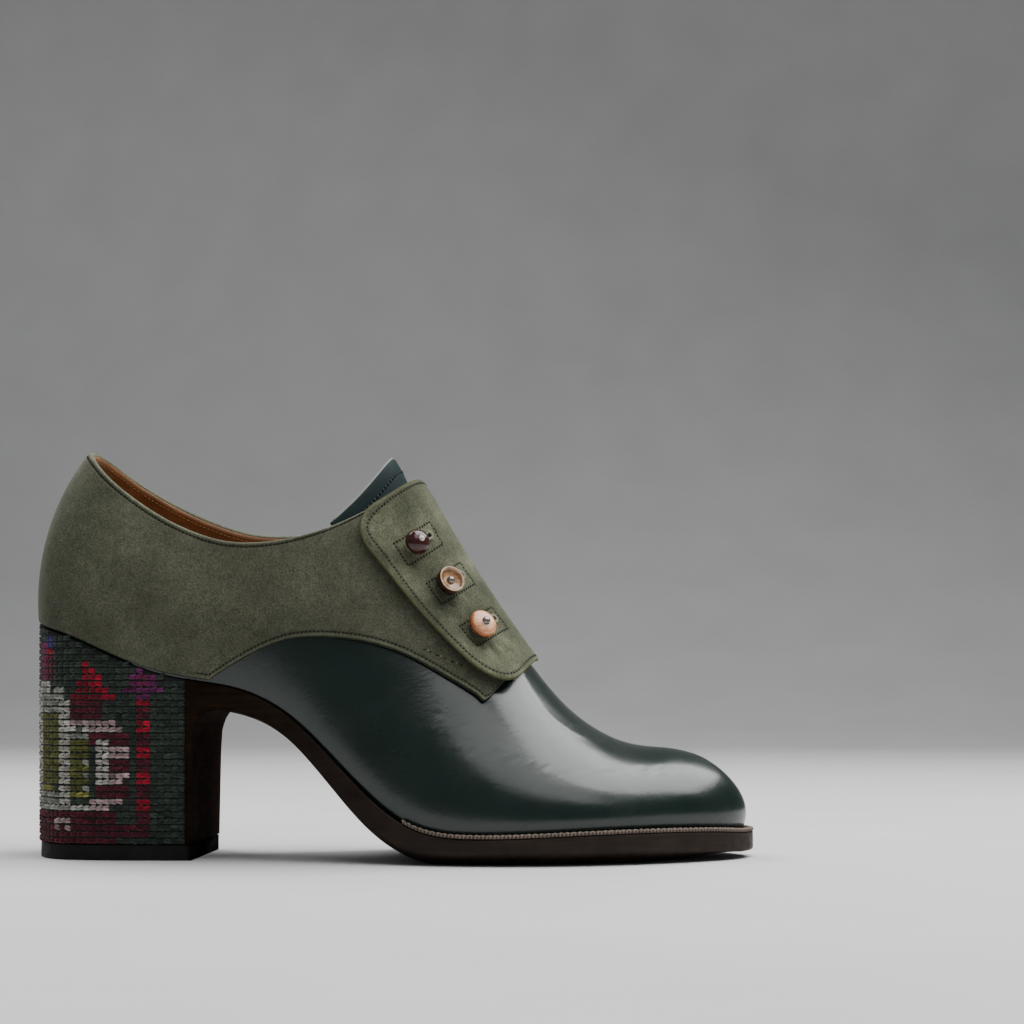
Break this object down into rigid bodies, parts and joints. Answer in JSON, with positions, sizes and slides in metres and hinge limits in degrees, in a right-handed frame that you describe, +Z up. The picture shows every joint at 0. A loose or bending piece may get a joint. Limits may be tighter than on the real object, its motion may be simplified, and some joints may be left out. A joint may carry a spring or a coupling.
{
  "type": "block heel shoe",
  "caption": "Heeled ankle-low shoe with suede quarters, smooth vamp, buttoned instep flap, tongue and a block heel covered in woven cloth; open at the collar for a foot.",
  "frame": {"origin": "floor point under the centre of the bounding box", "axes": "+X towards the toe, +Y towards the inner side of the foot, +Z up"},
  "size_m": [0.247, 0.087, 0.1398],
  "materials": {
    "vamp_leather": "polished smooth leather, tan lining inside",
    "olive_suede": "suede nap",
    "flap_suede": "suede nap",
    "tongue_leather": "satin leather",
    "lining_leather": "matt leather",
    "sole_leather": "satin leather",
    "welt_leather": "matt leather",
    "woven_cloth": "flat woven rug cloth",
    "lift_rubber": "matt rubber",
    "button_top": "glossy",
    "button_middle": "glossy",
    "button_bottom": "pearly",
    "button_middle_pin": "dark metal",
    "button_bottom_pin": "dark metal"
  },
  "bodies": {
    "root": {"upper": "vamp_leather", "quarters": "olive_suede", "button_flap": "flap_suede", "tongue": "tongue_leather", "insole": "lining_leather", "outsole": "sole_leather", "welt": "welt_leather", "heel_block": "woven_cloth", "heel_top_lift": "lift_rubber", "button_top": "button_top", "button_middle": "button_middle", "button_bottom": "button_bottom", "button_middle_pin": "button_middle_pin", "button_bottom_pin": "button_bottom_pin"}
  },
  "joints": []
}
